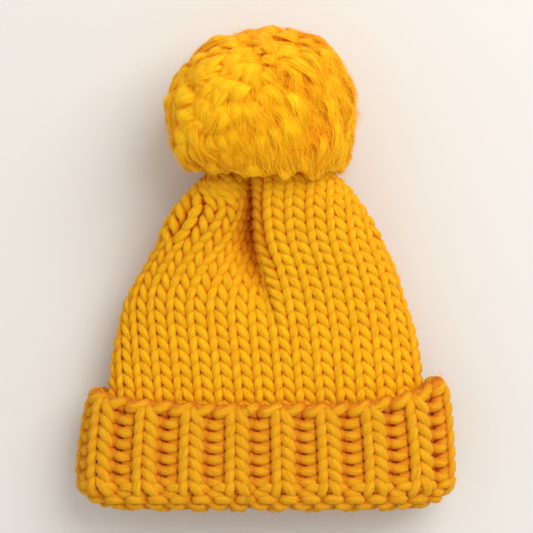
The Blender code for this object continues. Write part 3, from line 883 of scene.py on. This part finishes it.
def dye_and_shade_group():
    """Uneven dye and painted shade: the depth of colour drifts over a few centimetres, and painted shade
    makes it redder down in the creases.
    """
    group = bpy.data.node_groups.new("uneven_dye_and_painted_shade", "ShaderNodeTree")
    face = group.interface
    for name in ("Light", "Deep", "Crease Shade"):
        face.new_socket(name=name, in_out="INPUT", socket_type="NodeSocketColor")
    face.new_socket(name="Streak", in_out="INPUT", socket_type="NodeSocketFloat")
    face.new_socket(name="Drift", in_out="INPUT", socket_type="NodeSocketFloat").default_value = 0.35
    face.new_socket(name="Color", in_out="OUTPUT", socket_type="NodeSocketColor")
    nodes, links = group.nodes, group.links
    inputs, outputs = nodes.new("NodeGroupInput"), nodes.new("NodeGroupOutput")
    place = nodes.new("ShaderNodeTexCoord")
    cloud = nodes.new("ShaderNodeTexNoise")
    cloud.inputs["Scale"].default_value = 42.0
    cloud.inputs["Detail"].default_value = 3.0
    links.new(place.outputs["Object"], cloud.inputs["Vector"])
    drift = nodes.new("ShaderNodeMath")
    drift.operation = "MULTIPLY_ADD"
    centred = nodes.new("ShaderNodeMath")
    centred.operation = "SUBTRACT"
    links.new(cloud.outputs["Fac"], centred.inputs[0])
    centred.inputs[1].default_value = 0.5
    links.new(centred.outputs["Value"], drift.inputs[0])
    links.new(inputs.outputs["Drift"], drift.inputs[1])
    links.new(inputs.outputs["Streak"], drift.inputs[2])
    drift.use_clamp = True
    mix = nodes.new("ShaderNodeMix")
    mix.data_type = "RGBA"
    links.new(drift.outputs["Value"], mix.inputs["Factor"])
    links.new(inputs.outputs["Deep"], mix.inputs["A"])
    links.new(inputs.outputs["Light"], mix.inputs["B"])
    # painted shade: the crease colour is mixed in where the shade attribute is low
    shade = nodes.new("ShaderNodeAttribute")
    shade.attribute_name = "shade"
    crease_shade_mix = nodes.new("ShaderNodeMix")
    crease_shade_mix.data_type = "RGBA"
    links.new(shade.outputs["Fac"], crease_shade_mix.inputs["Factor"])
    links.new(inputs.outputs["Crease Shade"], crease_shade_mix.inputs["A"])
    links.new(mix.outputs["Result"], crease_shade_mix.inputs["B"])
    links.new(crease_shade_mix.outputs["Result"], outputs.inputs["Color"])
    return group


WOOL_FIBRES = wool_fibres_group()
DYE_AND_PAINTED_SHADE = dye_and_shade_group()


def roving_wool(name, light, deep, crease_shade, fineness=2.6, relief=0.8, depth=0.9 * MM, sheen=0.2):
    """Soft single-ply wool with its fibres showing along the yarn."""
    material = bpy.data.materials.new(name)
    material.use_nodes = True
    nodes, links = material.node_tree.nodes, material.node_tree.links
    shader = nodes["Principled BSDF"]
    fibres = nodes.new("ShaderNodeGroup")
    fibres.node_tree = WOOL_FIBRES
    fibres.inputs["Fineness"].default_value = fineness
    dye_and_shade = nodes.new("ShaderNodeGroup")
    dye_and_shade.node_tree = DYE_AND_PAINTED_SHADE
    dye_and_shade.inputs["Light"].default_value = (*light, 1)
    dye_and_shade.inputs["Deep"].default_value = (*deep, 1)
    # the crease colour is painted shade, not a colour of the wool itself
    dye_and_shade.inputs["Crease Shade"].default_value = (*crease_shade, 1)
    links.new(fibres.outputs["Streak"], dye_and_shade.inputs["Streak"])
    links.new(dye_and_shade.outputs["Color"], shader.inputs["Base Color"])
    bump = nodes.new("ShaderNodeBump")
    bump.inputs["Strength"].default_value = relief
    bump.inputs["Distance"].default_value = depth
    links.new(fibres.outputs["Height"], bump.inputs["Height"])
    links.new(bump.outputs["Normal"], shader.inputs["Normal"])
    shader.inputs["Roughness"].default_value = 0.88
    shader.inputs["Specular IOR Level"].default_value = 0.12
    shader.inputs["Sheen Weight"].default_value = sheen
    shader.inputs["Sheen Roughness"].default_value = 0.45
    shader.inputs["Sheen Tint"].default_value = (1.0, 0.70, 0.15, 1)
    return material


# each wool's third colour is its crease colour, painted in as shade down in the creases
BODY_WOOL = roving_wool("golden_roving", (0.95, 0.54, 0.009), (0.81, 0.36, 0.004), (0.73, 0.135, 0.004))
CUFF_WOOL = roving_wool("cuff_roving", (0.87, 0.44, 0.012), (0.70, 0.29, 0.006), (0.64, 0.13, 0.006))
POMPOM_WOOL = roving_wool("brushed_roving", (0.96, 0.63, 0.012), (0.94, 0.49, 0.006), (0.91, 0.27, 0.004),
                          fineness=2.0, relief=0.4, depth=0.4 * MM, sheen=0.35)
TIE_WOOL = roving_wool("tie_yarn", (0.88, 0.44, 0.006), (0.72, 0.32, 0.003), (0.62, 0.18, 0.002))


# ---- the hat ----

RIDGE_ROWS = (8, 9)
CROWN_FROM = 12                  # the first row that belongs to the gathered crown
DECREASE_ROW = 16                # from here on the stitches behind are knitted two together
PLAIN_FRONT = 6                  # except for so many each side of the middle of the front


def hat_piece(yarn, name, material, node, shade_of=None):
    piece = yarn.piece(name, material, shade_of)
    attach(piece, "hat")
    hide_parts(node)
    return piece


def ribbed_band():
    band = band_surface()
    rows = band.rows / GRID_PER_COURSE
    chain, cuff, ridge, inner = YarnMesh(), YarnMesh(), YarnMesh(), YarnMesh()
    cast_on_chain(chain, band, 0.45)
    for row in range(1, int(rows)):
        if row < RIDGE_ROWS[0]:
            knit_row(cuff, band, row + 0.15, rib)
        elif row <= RIDGE_ROWS[1]:
            knit_row(ridge, band, row + 0.05, purl)
        else:
            knit_row(inner, band, row, rib)
    return [
        hat_piece(chain, "cast_on_chain", CUFF_WOOL, "cast_on_edge"),
        hat_piece(cuff, "cuff_stitches", CUFF_WOOL, "turned_cuff"),
        hat_piece(ridge, "ridge_stitches", CUFF_WOOL, "fold_ridge"),
        hat_piece(inner, "inner_band_stitches", CUFF_WOOL, "inner_band"),
    ]


def stocking_stitch():
    surface = body_surface()
    rows = int(surface.rows / GRID_PER_COURSE)
    body, crown = YarnMesh(), YarnMesh()
    for row in range(1, rows):
        places = stitch_places(PLAIN_FRONT if row >= DECREASE_ROW else None)
        knit_row(body if row < CROWN_FROM else crown, surface, row, knit, places)
    return [
        hat_piece(body, "body_stitches", BODY_WOOL, "knitted_body", pleat_shade),
        hat_piece(crown, "crown_stitches", BODY_WOOL, "gathered_crown", pleat_shade),
    ]


band_pieces = ribbed_band()
stocking_pieces = stocking_stitch()
tie_pieces()
packed_middle(POMPOM_WOOL)
pompom_strands(POMPOM_WOOL)
halo("chain_halo", band_pieces[0], 2500, CUFF_WOOL)
halo("cuff_halo", band_pieces[1], 9000, CUFF_WOOL)
halo("ridge_halo", band_pieces[2], 2500, CUFF_WOOL)
halo("body_halo", stocking_pieces[0], 9000, BODY_WOOL)
halo("crown_halo", stocking_pieces[1], 9000, BODY_WOOL)


# ---- camera, floor and light ----

EYE_HEIGHT = 1.33
EYE_OFFSET = (0.9 * MM, 0.9 * MM)
HAT_LEVEL = 0.03                 # the height at which the hat's outline lies
FRAME_WIDTH = 0.309              # how much of that level the camera sees across
SENSOR = 36.0
LIGHT_BOUNCES = 12               # light goes on from fibre to fibre in wool


def overhead_camera():
    data = bpy.data.cameras.new("camera")
    data.sensor_width = SENSOR
    data.lens = SENSOR * (EYE_HEIGHT - HAT_LEVEL) / FRAME_WIDTH
    camera = bpy.data.objects.new("camera", data)
    camera.location = (*EYE_OFFSET, EYE_HEIGHT)
    bpy.context.scene.collection.objects.link(camera)
    bpy.context.scene.camera = camera


def pale_floor():
    bpy.ops.mesh.primitive_plane_add(size=6, location=(0, 0, 0))
    floor = bpy.context.active_object
    floor.name = "floor"
    material = bpy.data.materials.new("pale_floor")
    material.use_nodes = True
    shader = material.node_tree.nodes["Principled BSDF"]
    shader.inputs["Base Color"].default_value = (0.74, 0.73, 0.71, 1)
    shader.inputs["Roughness"].default_value = 0.8
    floor.data.materials.append(material)


def area_light(name, place, size, watts, colour):
    data = bpy.data.lights.new(name, "AREA")
    data.size = size
    data.energy = watts
    data.color = colour
    light = bpy.data.objects.new(name, data)
    light.location = place
    light.rotation_euler = (Vector((0, 0, HAT_LEVEL)) - Vector(place)).to_track_quat("-Z", "Y").to_euler()
    bpy.context.scene.collection.objects.link(light)


def soft_sky(strength):
    world = bpy.data.worlds.new("sky")
    bpy.context.scene.world = world
    world.use_nodes = True
    background = world.node_tree.nodes["Background"]
    background.inputs["Color"].default_value = (1.0, 0.98, 0.95, 1)
    background.inputs["Strength"].default_value = strength


overhead_camera()
pale_floor()
area_light("daylight", place=(0.62, 0.66, 1.25), size=1.1, watts=16.5, colour=(1.0, 0.97, 0.92))
soft_sky(strength=0.70)
bpy.context.scene.view_settings.view_transform = "Standard"
bpy.context.scene.cycles.diffuse_bounces = LIGHT_BOUNCES
bpy.context.scene.cycles.max_bounces = LIGHT_BOUNCES
